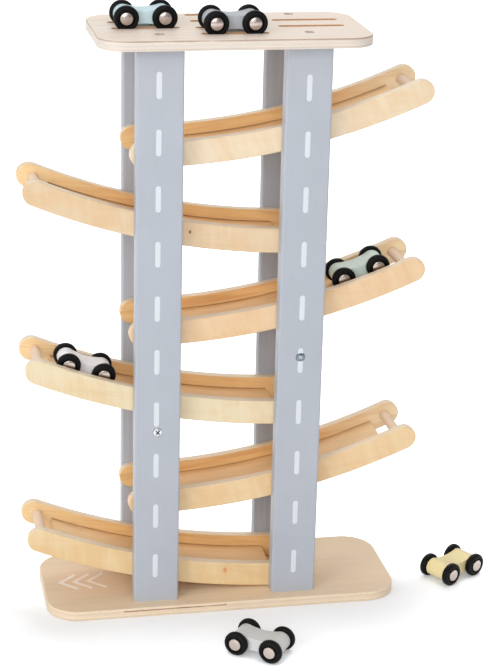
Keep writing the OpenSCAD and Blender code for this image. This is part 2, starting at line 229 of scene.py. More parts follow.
class Socket:
    """A shader value that can be used in Python sums: each sum adds a Math node."""

    def __init__(self, nodes, socket):
        self.nodes = nodes
        self.socket = socket

    def math(self, operation, *values):
        return self.nodes.add("Math", {"operation": operation}, dict(enumerate(values)))

    def __add__(self, other):
        return self.math("ADD", self, other)

    def __radd__(self, other):
        return self.math("ADD", other, self)

    def __sub__(self, other):
        return self.math("SUBTRACT", self, other)

    def __rsub__(self, other):
        return self.math("SUBTRACT", other, self)

    def __mul__(self, other):
        return self.math("MULTIPLY", self, other)

    def __rmul__(self, other):
        return self.math("MULTIPLY", other, self)

    def __truediv__(self, other):
        return self.math("DIVIDE", self, other)

    def __rtruediv__(self, other):
        return self.math("DIVIDE", other, self)

    def __abs__(self):
        return self.math("ABSOLUTE", self)

    def most(self, other):
        return self.math("MAXIMUM", self, other)

    def least(self, other):
        return self.math("MINIMUM", self, other)


def find_socket(sockets, key):
    """A socket by its number, its identifier or its name."""
    if isinstance(key, int):
        return sockets[key]
    for socket in sockets:
        if socket.identifier == key:
            return socket
    return sockets[key]


class Nodes:
    """A tree of shader nodes, and the means to add to it."""

    def __init__(self, tree):
        self.tree = tree
        self.tree.nodes.clear()

    def plug(self, socket, value):
        """Links a shader value to a socket, or gives the socket a plain one."""
        if isinstance(value, Socket):
            self.tree.links.new(value.socket, socket)
        elif socket.type == "RGBA":
            socket.default_value = (*value, 1.0)
        else:
            socket.default_value = value

    def add(self, kind, settings=None, sockets=None, out=0):
        """Adds a node: its settings come first, then the values or links of its sockets."""
        node = self.tree.nodes.new("ShaderNode" + kind)
        for name, value in (settings or {}).items():
            setattr(node, name, value)
        for key, value in (sockets or {}).items():
            self.plug(find_socket(node.inputs, key), value)
        return Socket(self, find_socket(node.outputs, out))

    def end(self, kind, shader):
        """Links a shader to the tree's output."""
        output = self.tree.nodes.new("ShaderNodeOutput" + kind)
        self.tree.links.new(shader, output.inputs["Surface"])

    def point(self, shift=(0, 0, 0), turn=(0, 0, 0)):
        """The place on the piece, moved and turned."""
        place = self.add("TexCoord", out="Object")
        return self.add("Mapping", {}, {"Vector": place, "Location": shift, "Rotation": turn})

    def vector(self, operation, first, second, out=0):
        return self.add("VectorMath", {"operation": operation}, {0: first, 1: second}, out)

    def split(self, vector):
        return [self.add("SeparateXYZ", {}, {0: vector}, axis) for axis in (X, Y, Z)]

    def noise(self, vector, scales, detail=2.0, roughness=0.5):
        """Noise from 0 to 1 with its own scale, per metre, on each axis."""
        stretched = self.vector("MULTIPLY", vector, scales)
        sockets = {"Vector": stretched, "Scale": 1.0, "Detail": detail, "Roughness": roughness}
        return self.add("TexNoise", {}, sockets)

    def step(self, value, low, high):
        """0 below low, 1 above high and a smooth rise between."""
        sockets = {"Value": value, "From Min": low, "From Max": high}
        return self.add("MapRange", {"interpolation_type": "SMOOTHSTEP"}, sockets)

    def mix(self, share, first, second, blend="MIX"):
        sockets = {"Factor_Float": share, "A_Color": first, "B_Color": second}
        return self.add("Mix", {"data_type": "RGBA", "blend_type": blend}, sockets, "Result_Color")


class Finish(Nodes):
    """A material with one main shader."""

    def __init__(self, name):
        self.material = bpy.data.materials.new(name)
        self.material.use_nodes = True
        super().__init__(self.material.node_tree)
        self.shader = self.tree.nodes.new("ShaderNodeBsdfPrincipled")
        self.end("Material", self.shader.outputs[0])

    def set(self, **sockets):
        """Gives the main shader's sockets their values, by their names in small letters."""
        for name, value in sockets.items():
            self.plug(self.shader.inputs[name.replace("_", " ").title()], value)

    def bump(self, height, depth):
        sockets = {"Strength": 1.0, "Distance": depth, "Height": height}
        self.set(normal=self.add("Bump", {}, sockets))


def tinted(tone, tint):
    """A tone with a share of each of its parts."""
    return tuple(part * share for part, share in zip(tone, tint))


def scaled(tone, share):
    """A tone made darker, or paler with a share over 1."""
    return tuple(part * share for part in tone)


# Wood


# Where the pith lies that the growth lines run round
PITH = (0.0, 0.16, -0.42)
# Tints of a wood's own tone
BLUSH = (0.97, 0.85, 0.71)
FLUSH = (0.97, 0.87, 0.78)
LATE_WOOD = (0.84, 0.7, 0.55)
EARLY_WOOD = (1.04, 1.08, 1.14)
# Painted shade on a ramp's floor between the posts
SHADED_VENEER = (0.94, 0.87, 0.79)
# How far the curl leans from square to the grain
CURL_LEAN = radians(14)
# Distances from the middle of the track over which the painted shade between the posts, on a ramp's rails
# and floor, fades to their outer tone
RAIL_FADE = (0.09, 0.15)
FLOOR_FADE = (0.07, 0.17)
# Depth behind a rail's inner side at which the painted shade of its groove sets in, and the length of a
# groove's soft end
GROOVE_DEPTH = (0.0004, 0.001)
GROOVE_END = 0.002
# Radii over which a mark in the wood fades: the warm wood round it, a pin knot and a flare
WARM_FADE = (0.001, 0.009)
KNOT_FADE = (0.0006, 0.0016)
FLARE_FADE = (0.0006, 0.0026)
# A mark's width as a share of its height
MARK_WIDTH = 0.62


def growth_lines(finish, point, spacing, waver):
    """Lines of late wood round a pith that lies far off, so that they run nearly straight."""
    drift = finish.noise(point, (6.0, 26.0, 26.0), 3.0) - 0.5
    across = finish.vector("MULTIPLY", finish.vector("SUBTRACT", point, PITH), (0.0, 1.0, 1.0))
    ring = finish.vector("LENGTH", across, (0, 0, 0), "Value") / spacing + drift * waver
    ring = ring.math("FRACT", ring)
    return finish.step(ring, 0.2, 0.85) * (1.0 - finish.step(ring, 0.88, 1.0))


def add_knot(finish, tone, base, mark, colours):
    """A mark in the wood at a place in X and Z: a pin knot, or a flare that is only warm."""
    x_place, z_place, pin = mark
    x, _, z = finish.split(finish.point())
    across = x - x_place
    along = (z - z_place) * MARK_WIDTH
    away = across.math("SQRT", across * across + along * along)
    warm = finish.mix((1.0 - finish.step(away, *WARM_FADE)) * 0.6, tone, tinted(base, BLUSH))
    if pin:
        return finish.mix((1.0 - finish.step(away, *KNOT_FADE)) * 0.95, warm, colours.knot)
    return finish.mix((1.0 - finish.step(away, *FLARE_FADE)) * 0.8, warm, colours.blaze)


def rail_inside_shade(finish, tone, point, node, floor, inside, colours):
    """The side of a rail that faces the cars, in painted bounce light and shade: deeper between the posts,
    banded, with painted shade in its groove.
    """
    low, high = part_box(node)
    inner = high.y if inside > 0 else low.y
    x, y, _ = finish.split(finish.point())
    facing = finish.step(finish.split(finish.add("NewGeometry", out="Normal"))[Y] * inside, 0.6, 0.9)
    between = 1.0 - finish.step(abs(x), *RAIL_FADE)
    bands = finish.noise(point, (9.0, 60.0, 110.0), 3.0)
    fine = finish.noise(point, (14.0, 400.0, 520.0), 3.0, 0.6)
    # Painted bounce light and shade: warmer, darker inner sides, deepest between the posts.
    outer = finish.mix(finish.step(x, -0.05, 0.05), colours.inside_left_shade, colours.inside_right_shade)
    warm = finish.mix(between, outer, colours.rail_deep)
    # Brown bands of grain, stronger between the posts as painted shade.
    warm = finish.mix(finish.step(bands, 0.45, 0.68) * (0.15 + between * 0.5), warm, colours.rail_band)
    warm = finish.mix(finish.step(fine, 0.48, 0.7) * 0.3, warm, colours.rail_band)
    first, last = (corner.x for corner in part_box(floor))
    along = finish.step(x, first, first + GROOVE_END) * (1.0 - finish.step(x, last - GROOVE_END, last))
    # Painted shade in the groove just over the floor.
    sunk = finish.step((inner - y) * inside, *GROOVE_DEPTH) * along
    tone = finish.mix(facing * 0.85, tone, warm)
    return finish.mix(facing * sunk, tone, colours.groove)


def solid_wood(node, floor, base, colours, inside, tilt, shift, mark=None):
    """Lacquered solid wood: uneven streaks along the blank, soft curl across it and warm patches."""
    finish = Finish(node + " wood")
    point = finish.point((shift, 0.37 * shift, 0.71 * shift), (0.0, tilt, 0.0))
    leaning = finish.point((shift, 0.2 * shift, 0.4 * shift), (0.0, tilt + CURL_LEAN, 0.0))
    lines = growth_lines(finish, point, 0.0115, 3.2)
    fibre = finish.noise(point, (60.0, 1300.0, 1300.0), 3.0)
    streak = finish.noise(point, (10.0, 190.0, 190.0), 4.0, 0.6)
    curl = finish.noise(leaning, (85.0, 14.0, 14.0), 4.0, 0.6)
    patch = finish.noise(point, (20.0, 32.0, 42.0), 3.0)
    tone = finish.mix(finish.step(patch, 0.45, 0.65) * 0.6, base, tinted(base, BLUSH))
    tone = finish.mix(finish.step(curl, 0.5, 0.64) * 0.5, tone, tinted(base, FLUSH))
    tone = finish.mix((1.0 - finish.step(curl, 0.36, 0.5)) * 0.6, tone, tinted(base, EARLY_WOOD))
    late = tinted(base, LATE_WOOD)
    tone = finish.mix(finish.step(streak, 0.54, 0.78) * 0.25 + lines * 0.05, tone, late)
    tone = finish.mix(finish.step(fibre, 0.45, 0.75) * 0.12, tone, late)
    if mark:
        tone = add_knot(finish, tone, base, mark, colours)
    # Painted sheen on the rails' upward faces.
    up = finish.split(finish.add("NewGeometry", out="Normal"))[Z]
    tone = finish.mix(finish.step(up, 0.55, 0.9) * 0.6, tone, colours.rail_top)
    tone = rail_inside_shade(finish, tone, point, node, floor, inside, colours)
    finish.set(base_color=tone, roughness=0.36 + fibre * 0.2, coat_weight=0.3 + patch * 0.1)
    finish.shader.inputs["Coat Roughness"].default_value = 0.26
    finish.bump(lines * 0.3 + fibre, 0.00004)
    return finish.material


def veneer_face(finish, point, tone):
    """Rotary-cut veneer: broad flowing figure, fine fibres and short dark flecks."""
    dark = scaled(tone, 0.76)
    flow = finish.noise(point, (2.2, 20.0, 20.0), 3.0)
    figure = finish.noise(point, (6.0, 110.0, 110.0), 4.0, 0.6)
    fibre = finish.noise(point, (70.0, 1500.0, 1500.0), 2.0)
    fleck = finish.step(finish.noise(point, (240.0, 1300.0, 1300.0), 1.0), 0.66, 0.76)
    face = finish.mix(finish.step(figure, 0.42, 0.78) * 0.38, tuple(tone), dark)
    face = finish.mix(finish.step(flow, 0.4, 0.7) * 0.35, face, scaled(tone, 1.06))
    face = finish.mix(fleck * 0.3 + finish.step(fibre, 0.4, 0.8) * 0.14, face, dark)
    return face, fibre


def ply_lines(finish, depth, ripple, lines):
    """Glue lines in a board's edge, each at its depth, with its half width and its strength."""
    total = None
    for place, width, strength in lines:
        line = (1.0 - finish.step(abs(depth + ripple - place), width * 0.5, width)) * strength
        total = line if total is None else total.most(line)
    return total


def from_outline(finish, x, y, low, high, corner):
    """How far a point lies inside a board's outline, which has round corners."""
    centre = (low + high) / 2
    half = (high - low) / 2
    over_x = abs(x - centre.x) - (half.x - corner)
    over_y = abs(y - centre.y) - (half.y - corner)
    past_x, past_y = over_x.most(0.0), over_y.most(0.0)
    past = over_x.math("SQRT", past_x * past_x + past_y * past_y)
    return corner - past - over_x.most(over_y).least(0.0)


def plywood(name, node, tone, edge_tone, colours, corner, lines, gap=None, screws=None):
    """A board with veneered faces, layered edges, darker ply where it is routed and painted shade in its
    screw holes.
    """
    finish = Finish(name)
    low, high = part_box(node)
    # Width of the board's rim and thickness of its face veneer
    rim, skin = 0.003, 0.0008
    point = finish.point()
    x, y, z = finish.split(point)
    upright = abs(finish.split(finish.add("NewGeometry", out="Normal"))[Z])
    side = 1.0 - finish.step(upright, 0.7, 0.95)
    inner = finish.step(from_outline(finish, x, y, low, high, corner), rim, rim * 1.3)
    below_top = 1.0 - finish.step(z, high.z - skin, high.z - skin / 2)
    sunk = below_top * finish.step(z, low.z + rim, low.z + rim * 1.3)
    face, fibre = veneer_face(finish, point, tone)
    grain = finish.noise(point, (320.0, 320.0, 900.0), 3.0)
    broad = finish.noise(point, (25.0, 25.0, 300.0), 2.0)
    ripple = (broad - 0.5) * 0.0006
    depth = high.z - z
    edge = finish.mix(finish.step(broad, 0.4, 0.7) * 0.4, tuple(edge_tone), tuple(tone))
    edge = finish.mix(finish.step(grain, 0.45, 0.8) * 0.25, edge, colours.routed)
    fade = finish.step(finish.noise(point, (30.0, 30.0, 5.0), 3.0), 0.25, 0.6)
    dark = ply_lines(finish, depth, ripple, lines) * (0.45 + fade * 0.55)
    if gap:
        start, end, place, width = gap
        run = finish.step(x, start, start + rim) * (1.0 - finish.step(x, end - rim, end))
        front = 1.0 - finish.step(y, low.y + corner, low.y + corner * 1.1)
        void = (1.0 - finish.step(abs(depth + ripple - place), width * 0.5, width)) * run * front
        dark = dark.most(void * (0.55 + fade * 0.45))
    edge = finish.mix(dark, edge, colours.glue_line)
    routed = finish.mix(grain * 0.35, colours.routed, colours.glue_line)
    if screws:
        node, hole = screws
        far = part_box(node)[1]
        over_x, over_y = abs(x) - (far.x - hole), abs(y) - (far.y - hole)
        away = over_x.math("SQRT", over_x * over_x + over_y * over_y)
        # Painted shade in the screw holes: the sunk ply round them is drawn darker.
        routed = finish.mix(finish.step(away, hole * 1.1, hole * 1.3), scaled(tone, 0.6), routed)
    surface = finish.mix(side, face, edge)
    tint = finish.mix(inner * side.most(sunk), surface, routed)
    finish.set(base_color=tint, roughness=0.42 + fibre * 0.2, coat_weight=0.06)
    finish.bump(fibre + grain * side - dark * side * 1.5, 0.00005)
    return finish.material


def thin_floor(name, colours):
    """The ramps' thin curved floors."""
    finish = Finish(name)
    point = finish.point()
    face, fibre = veneer_face(finish, point, colours.floor_veneer)
    # Painted shade on the floor between the posts.
    between = 1.0 - finish.step(abs(finish.split(point)[X]), *FLOOR_FADE)
    face = finish.mix(between, face, SHADED_VENEER, "MULTIPLY")
    facing = abs(finish.split(finish.add("NewGeometry", out="Normal"))[X])
    ends = finish.step(facing, 0.7, 0.85)
    finish.set(base_color=finish.mix(ends * 0.2, face, colours.routed), roughness=0.44 + fibre * 0.2)
    finish.bump(fibre, 0.00005)
    return finish.material


# Paint, plastic and metal


# Waves of the rings that turning leaves on a wheel, in radians per metre
RING_WAVES = 14000.0


def satin_paint(name, tone, grain=(900.0, 900.0, 40.0), sheen=0.4, depth=0.4):
    """Sprayed paint on wood: a trace of grain, a fine orange peel and a little mottling."""
    finish = Finish(name)
    point = finish.point()
    mottle = finish.noise(point, (30.0, 30.0, 30.0), 3.0)
    trace = finish.noise(point, grain, 2.0)
    peel = finish.noise(point, (1600.0, 1600.0, 1600.0), 1.0)
    uneven = finish.step(mottle, 0.25, 0.75) * 0.35 + finish.step(trace, 0.35, 0.7) * depth
    shade = finish.mix(uneven, scaled(tone, 1.02), scaled(tone, 0.93))
    finish.set(base_color=shade, roughness=sheen + mottle * 0.14)
    finish.bump(trace * 0.6 + peel * 0.4, 0.00005)
    return finish.material


def white_print(name, tone):
    """Screen print that lets a little of the grain show."""
    finish = Finish(name)
    point = finish.point()
    worn = finish.noise(point, (420.0, 420.0, 420.0), 3.0)
    shade = finish.mix(worn * 0.2, tuple(tone), scaled(tone, 0.88))
    finish.set(base_color=shade, roughness=0.42 + worn * 0.2)
    return finish.material


def wheel_black(name, tone, hub_radius):
    """Satin black with a duller, dustier rim and faint turning rings."""
    finish = Finish(name)
    radius = finish.add("Attribute", {"attribute_name": "from_axle"}, out="Fac")
    scuff = finish.noise(finish.point(), (500.0, 500.0, 500.0), 3.0)
    rim = finish.step(radius, hub_radius, hub_radius * 1.4)
    rings = radius.math("SINE", radius * RING_WAVES)
    dusty = finish.mix(rim * 0.3 + finish.step(scuff, 0.45, 0.8) * 0.3, tuple(tone), scaled(tone, 1.9))
    finish.set(base_color=dusty, roughness=0.3 + scuff * 0.22 + rim * 0.06)
    finish.shader.inputs["Specular IOR Level"].default_value = 0.13
    finish.bump(rings * 0.5 + scuff * 0.4, 0.00003)
    return finish.material


def soft_metal(name, tone, roughness, dent):
    """Plated metal with shallow dents and fine scratches."""
    finish = Finish(name)
    point = finish.point()
    dents = finish.noise(point, (320.0, 320.0, 320.0), 2.0)
    scratch = finish.noise(point, (2600.0, 260.0, 900.0), 2.0)
    shade = finish.mix(dents * 0.5, scaled(tone, 1.04), scaled(tone, 0.82))
    finish.set(base_color=shade, metallic=1.0, roughness=roughness + scratch * 0.18)
    finish.bump(dents, dent)
    return finish.material


def screw_steel(name, tone, shaded_tone, recess, face):
    """Steel screw heads on the posts, with painted reflection and shade: bright on the left, dark on the
    right, with shaded crosses.
    """
    finish = Finish(name)
    point = finish.point()
    x, y, _ = finish.split(point)
    brushed = finish.noise(point, (2600.0, 400.0, 2600.0), 2.0)
    shade = finish.mix(brushed * 0.4, scaled(tone, 1.04), scaled(tone, 0.8))
    # Painted reflection and shade: heads right of the middle take the darker tone.
    shade = finish.mix(finish.step(x, -0.001, 0.001), shade, shaded_tone)
    proud = finish.step(abs(y), face, face + 0.0002)
    shade = finish.mix(proud, recess, shade)
    finish.set(base_color=shade, metallic=proud, roughness=0.2 + brushed * 0.2)
    return finish.material


# Meshes


# Faces that meet at a wider angle have a sharp edge between them
SHARP_ANGLE = radians(32)


def dress(node, material):
    """Gives a node of the frame its finish."""
    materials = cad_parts[node].data.materials
    materials.clear()
    materials.append(material)


def new_piece(name, mesh):
    """A new object in the scene."""
    piece = bpy.data.objects.new(name, mesh)
    bpy.context.scene.collection.objects.link(piece)
    return piece


def smooth_mesh(mesh):
    """Shades a mesh smooth, except at its plain edges."""
    for face in mesh.polygons:
        face.use_smooth = True
    mesh.set_sharp_from_angle(angle=SHARP_ANGLE)


def arc(centre, radius, start, end, count):
    """Points on a circle from one angle to another, in degrees."""
    angles = [radians(start + (end - start) * step / count) for step in range(count + 1)]
    return [(centre[0] + radius * cos(a), centre[1] + radius * sin(a)) for a in angles]


def lathe(name, profile, segments=72):
    """A mesh turned round Y from points of (radius, y). It closes on the axis or on itself."""
    shape = bmesh.new()
    layer = shape.verts.layers.float.new("from_axle")
    rings = []
    for radius, along in profile:
        count = 1 if radius == 0 else segments
        ring = []
        for k in range(count):
            turn = 2 * pi * k / segments
            vert = shape.verts.new((radius * cos(turn), along, radius * sin(turn)))
            vert[layer] = radius
            ring.append(vert)
        rings.append(ring)
    pairs = list(zip(rings, rings[1:]))
    if profile[0][0] > 0:
        pairs.append((rings[-1], rings[0]))
    for first, second in pairs:
        for k in range(segments):
            corners = [first[k % len(first)], first[(k + 1) % len(first)]]
            corners += [second[(k + 1) % len(second)], second[k % len(second)]]
            shape.faces.new(list(dict.fromkeys(corners)))
    bmesh.ops.recalc_face_normals(shape, faces=shape.faces)
    mesh = bpy.data.meshes.new(name)
    shape.to_mesh(mesh)
    shape.free()
    return mesh


def slab(name, outline, thick):
    """A flat outline in X and Y with a thickness up from Z = 0."""
    shape = bmesh.new()
    face = shape.faces.new([shape.verts.new((x, y, 0.0)) for x, y in outline])
    raised = bmesh.ops.extrude_face_region(shape, geom=[face])["geom"]
    verts = [item for item in raised if isinstance(item, bmesh.types.BMVert)]
    bmesh.ops.translate(shape, vec=(0, 0, thick), verts=verts)
    bmesh.ops.recalc_face_normals(shape, faces=shape.faces)
    mesh = bpy.data.meshes.new(name)
    shape.to_mesh(mesh)
    shape.free()
    return mesh


# Copies in a row, made with geometry nodes


def row_tree():
    """Sets copies of a mesh in a row, each turned on from the one before."""
    tree = bpy.data.node_groups.new("Row of copies", "GeometryNodeTree")
    tree.interface.new_socket("Geometry", in_out="OUTPUT", socket_type="NodeSocketGeometry")
    for name, kind in (
        ("Geometry", "Geometry"),
        ("Count", "Int"),
        ("Start", "Vector"),
        ("Step", "Vector"),
        ("Turn", "Vector"),
        ("Finish", "Material"),
    ):
        tree.interface.new_socket(name, in_out="INPUT", socket_type="NodeSocket" + kind)

    def add(kind, links, **settings):
        node = tree.nodes.new(kind)
        for name, value in settings.items():
            setattr(node, name, value)
        for key, source in links.items():
            tree.links.new(source, node.inputs[key])
        return node

    given = tree.nodes.new("NodeGroupInput").outputs
    line = add(
        "GeometryNodeMeshLine",
        {"Count": given["Count"], "Start Location": given["Start"], "Offset": given["Step"]},
        mode="OFFSET",
    )
    index = add("GeometryNodeInputIndex", {})
    turned = add(
        "ShaderNodeVectorMath", {0: given["Turn"], "Scale": index.outputs[0]}, operation="SCALE"
    )
    copies = add(
        "GeometryNodeInstanceOnPoints",
        {"Points": line.outputs[0], "Instance": given["Geometry"], "Rotation": turned.outputs[0]},
    )
    real = add("GeometryNodeRealizeInstances", {"Geometry": copies.outputs[0]})
    finished = add("GeometryNodeSetMaterial", {"Geometry": real.outputs[0], "Material": given["Finish"]})
    add("NodeGroupOutput", {0: finished.outputs[0]})
    return tree


def in_a_row(name, mesh, material, count, start, step, turn=(0, 0, 0)):
    """A piece made of copies of a mesh in a row, as a plain mesh."""
    tree = bpy.data.node_groups.get("Row of copies") or row_tree()
    piece = new_piece(name, mesh)
    modifier = piece.modifiers.new("Row", "NODES")
    modifier.node_group = tree
    values = {"Count": count, "Start": start, "Step": step, "Turn": turn, "Finish": material}
    for item in tree.interface.items_tree:
        if item.in_out == "INPUT" and item.name in values:
            modifier[item.identifier] = values[item.name]
    evaluated = piece.evaluated_get(bpy.context.evaluated_depsgraph_get())
    plain = bpy.data.meshes.new_from_object(evaluated)
    piece.modifiers.remove(modifier)
    piece.data = plain
    return piece


# Road marks


def dash_outline(width, length):
    """An upright bar with round ends, from its top down."""
    radius = width / 2
    reach = length / 2 - radius
    return arc((0, reach), radius, 0, 180, 16) + arc((0, -reach), radius, 180, 360, 16)


def chevron_outline(length, spread, stroke):
    """A chevron that points to -X from its tip at the origin, with square arm ends."""
    arm = hypot(length, spread)
    along = stroke * arm / spread
    square = (stroke * spread / arm, stroke * length / arm)
    upper = (length, spread)
    inner = (length + square[0], spread - square[1])
    return [
        (0, 0),
        (upper[0], -upper[1]),
        (inner[0], -inner[1]),
        (along, 0),
        inner,
        upper,
    ]


def add_dashes(post, marks, material):
    low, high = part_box(post)
    front = post.startswith("front")
    drop, shift = (marks.left_drop, marks.left_shift) if "left" in post else (marks.right_drop, 0)
    mesh = slab(post + "_dash", dash_outline(marks.dash_width, marks.dash_length), marks.print_depth)
    mesh.transform(Matrix.Rotation(radians(90 if front else -90), 4, "X"))
    face = low.y if front else high.y
    first = ((low.x + high.x) / 2 - shift, face, high.z - drop - marks.dash_length / 2)
    step = (0, 0, -marks.dash_pitch)
    piece = in_a_row(post + "_dashes", mesh, material, marks.dash_count, first, step)
    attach(piece, "tower")


def add_chevrons(marks, material):
    low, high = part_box("base_board")
    outline = chevron_outline(marks.chevron_length, marks.chevron_spread, marks.chevron_stroke)
    mesh = slab("chevron", outline, marks.print_depth)
    tip = (low.x + marks.chevron_inset, 0, high.z)
    step = (marks.chevron_pitch, 0, 0)
    piece = in_a_row("base_chevrons", mesh, material, marks.chevron_count, tip, step)
    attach(piece, "tower")


# Cars


def middle(node):
    low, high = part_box(node)
    return (low + high) / 2


def car_place(car):
    """Where a car stands: X forward, Y along its axles, the origin midway between them."""
    front, rear = (middle(f"{car}_{end}_axle") for end in ENDS)
    forward = (front - rear).normalized()
    side = Vector((0, 0, 1)).cross(forward).normalized()
    up = forward.cross(side)
    turn = Matrix((forward, side, up)).transposed().to_4x4()
    return Matrix.Translation((front + rear) / 2) @ turn


def body_outline(wheelbase, nose, waist):
    """The body's side view: round noses joined by hollows that touch them."""
    half = wheelbase / 2
    drop = nose - waist / 2
    far = (half * half - drop * drop) / (2 * drop)
    touch = sqrt(half * half + far * far) - nose
    lean = degrees(asin(half / (touch + nose)))
    front = arc((half, 0), nose, -90 - lean, 90 + lean, 40)
    top = arc((0, far), touch, -90 + lean, -90 - lean, 24)
    rear = arc((-half, 0), nose, 90 - lean, 270 + lean, 40)
    under = arc((0, -far), touch, 90 + lean, 90 - lean, 24)
    return front + top[1:-1] + rear + under[1:-1]


def add_car_body(car, sizes, material):
    node = car + "_car_body"
    low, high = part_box("blue_car_body")
    wheelbase = (middle("blue_front_axle") - middle("blue_rear_axle")).length
    nose = (high.z - low.z) / 2
    bore = sizes.axle / 2 + sizes.axle_play
    curve = bpy.data.curves.new(node, "CURVE")
    curve.dimensions = "2D"
    curve.fill_mode = "BOTH"
    curve.bevel_depth = sizes.body_edge
    curve.bevel_resolution = 3
    curve.offset = -sizes.body_edge
    curve.extrude = (high.y - low.y) / 2 - sizes.body_edge
    holes = [arc((x * wheelbase / 2, 0), bore, 0, 345, 23) for x in (-1, 1)]
    for points in [body_outline(wheelbase, nose, sizes.waist), *holes]:
        spline = curve.splines.new("POLY")
        spline.points.add(len(points) - 1)
        for point, (x, y) in zip(spline.points, points):
            point.co = (x, y, 0, 1)
        spline.use_cyclic_u = True
    drawn = bpy.data.objects.new(node + "_curve", curve)
    mesh = bpy.data.meshes.new_from_object(drawn)
    bpy.data.objects.remove(drawn)
    mesh.transform(car_place(car) @ Matrix.Rotation(radians(90), 4, "X"))
    smooth_mesh(mesh)
    mesh.materials.append(material)
    piece = new_piece(car + "_body", mesh)
    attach(piece, car + "_car")
    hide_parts(node)


def wheel_profile(radius, width, sizes):
    """A wheel's half section with its outer face towards +Y."""
    half = width / 2
    rim = sizes.rim_round
    bore = sizes.axle / 2
    dish = sizes.dish / 2
    floor = half - sizes.dish_depth
    soft = sizes.dish_slope / 2
    inner_rim = arc((radius - rim, rim - half), rim, -90, 0, 8)
    outer_rim = arc((radius - rim, half - rim), rim, 0, 90, 8)
    lip = arc((dish + soft, half - soft), soft, 90, 170, 4)
    return [
        (bore, -half),
        *inner_rim,
        *outer_rim,
        *lip,
        (dish - sizes.dish_slope, floor),
        (bore, floor),
    ]


def axle_profile(half_length, cap, axle, seat, sizes):
    """An axle's half section: a rod with a domed cap that sits in the dish at each end."""
    rise, soft = sizes.cap_rise, sizes.cap_round
    dome = (cap * cap + rise * rise) / (2 * rise)
    lean = asin((cap - soft) / (dome - soft))
    shoulder = 90 - degrees(lean)
    corner = (cap - soft, half_length - dome + (dome - soft) * cos(lean))
    top = [(0.0, half_length)]
    top += arc((0, half_length - dome), dome, 90, shoulder, 8)[1:]
    top += arc(corner, soft, shoulder, 0, 5)[1:]
    top += [(cap, seat), (axle, seat)]
    return top + [(radius, -along) for radius, along in reversed(top)]


def add_wheelset(car, end, sizes, black, nickel):
    low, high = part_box("blue_front_wheels")
    body_low, body_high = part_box("blue_car_body")
    axle_low, axle_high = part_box("blue_front_axle")
    over = (high.y - low.y) / 2
    width = over - (body_high.y - body_low.y) / 2 - sizes.wheel_gap
    track = 2 * over - width
    place = car_place(car)
    place.translation = middle(f"{car}_{end}_axle")
    wheel = lathe("wheel", wheel_profile((high.z - low.z) / 2, width, sizes))
    name = f"{car}_{end}_wheel_pair"
    wheels = in_a_row(name, wheel, black, 2, (0, track / 2, 0), (0, -track, 0), (0, 0, pi))
    seat = over - sizes.dish_depth
    cap = (axle_high.z - axle_low.z) / 2
    profile = axle_profile((axle_high.y - axle_low.y) / 2, cap, sizes.axle / 2, seat, sizes)
    axle = new_piece(f"{car}_{end}_axle_and_caps", lathe("axle", profile, 48))
    axle.data.materials.append(nickel)
    for piece, node, slot in ((wheels, "wheels", "wheel_black"), (axle, "axle", "axle_steel")):
        piece.data.transform(place)
        smooth_mesh(piece.data)
        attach(piece, f"{car}_{end}_wheelset")
        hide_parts(f"{car}_{end}_{node}")


# Stage


WHITE = (1.0, 1.0, 1.0)
FLOOR_REACH = 6.0
# Share of the sky that is free over the floor where it is shaded, and where it is white
FREE_SKY = (0.35, 0.92)
# From where to where along Y the dome turns from dim to bright
DIM_FADE = (-0.45, 0.1)


def floor_white(nodes, settings):
    """How white the floor is, from 0 in the shade before the base and close to what stands on it."""
    x, y, _ = nodes.split(nodes.point())
    low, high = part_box("base_board")
    inside = from_outline(nodes, x, y, low, high, (high.y - low.y) / 4)
    before = (0.0 - inside) / settings.shade_reach
    behind = nodes.step(y, low.y, high.y)
    free = nodes.add("AmbientOcclusion", {"samples": 16}, {"Distance": settings.contact_reach}, "AO")
    return before.most(behind).least(nodes.step(free, *FREE_SKY))


def add_floor(settings):
    """A floor that keeps its shade. Where it is free, the camera and gloss see it white."""
    reach = FLOOR_REACH
    outline = [(-reach, -reach), (reach, -reach), (reach, reach), (-reach, reach)]
    mesh = bpy.data.meshes.new("floor")
    mesh.from_pydata([(x, y, 0.0) for x, y in outline], [], [range(4)])
    floor = new_piece("floor", mesh)
    material = bpy.data.materials.new("plain floor")
    material.use_nodes = True
    nodes = Nodes(material.node_tree)
    seen = nodes.add("LightPath", out="Is Camera Ray")
    through = nodes.add("LightPath", out="Is Transmission Ray")
    mirrored = nodes.add("LightPath", out="Is Glossy Ray")
    white = nodes.mix(floor_white(nodes, settings), (settings.floor_glow,) * 3, WHITE)
    glow = nodes.add("Emission", {}, {"Color": white, "Strength": 1.0})
    matt = nodes.add("BsdfDiffuse", {}, {"Color": tuple(settings.floor_pale)})
    lit = nodes.add("AddShader", {}, {0: glow, 1: matt})
    both = nodes.add("MixShader", {}, {0: seen.most(through).most(mirrored), 1: matt, 2: lit})
    nodes.end("Material", both.socket)
    mesh.materials.append(material)


